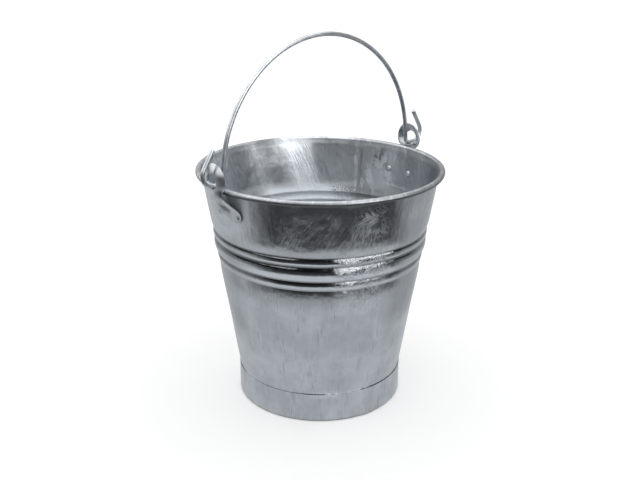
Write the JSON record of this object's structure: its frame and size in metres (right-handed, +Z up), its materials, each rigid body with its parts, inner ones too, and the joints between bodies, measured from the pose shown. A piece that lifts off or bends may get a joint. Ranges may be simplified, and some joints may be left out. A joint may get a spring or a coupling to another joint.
{
  "type": "pail",
  "caption": "Tapered open sheet-steel pail with a wired rim, three swaged beads, a foot ring and a swinging wire bail hooked through two pressed ears.",
  "frame": {"origin": "centre of the foot ring's lower edge, on the ground", "axes": "+Z up along the pail's axis, X along the bail's pivot through both ears, -Y the front"},
  "size_m": [0.3514, 0.3, 0.4508],
  "materials": {
    "galvanised_sheet": "hot-dip galvanised sheet, blue-grey, semi-bright with streaks and frosted zinc patches",
    "galvanised_wire": "hot-dip galvanised wire, grey, semi-bright, slightly lumpy",
    "galvanised_pressing": "hot-dip galvanised pressing, pale grey, satin"
  },
  "bodies": {
    "pail": {"body_shell": "galvanised_sheet", "rim_wire": "galvanised_wire", "bottom_disc": "galvanised_sheet", "foot_ring": "galvanised_sheet", "ear_left": "galvanised_pressing", "ear_right": "galvanised_pressing", "rivet_left_front": "galvanised_pressing", "rivet_left_rear": "galvanised_pressing", "rivet_right_front": "galvanised_pressing", "rivet_right_rear": "galvanised_pressing"},
    "bail": {"bail": "galvanised_wire"}
  },
  "joints": [
    {"name": "bail_swing", "type": "hinge", "parent": "pail", "child": "bail", "pos_m": [0, 0, 0.2968], "axis": [1, 0, 0], "range_deg": [-90, 90]}
  ]
}
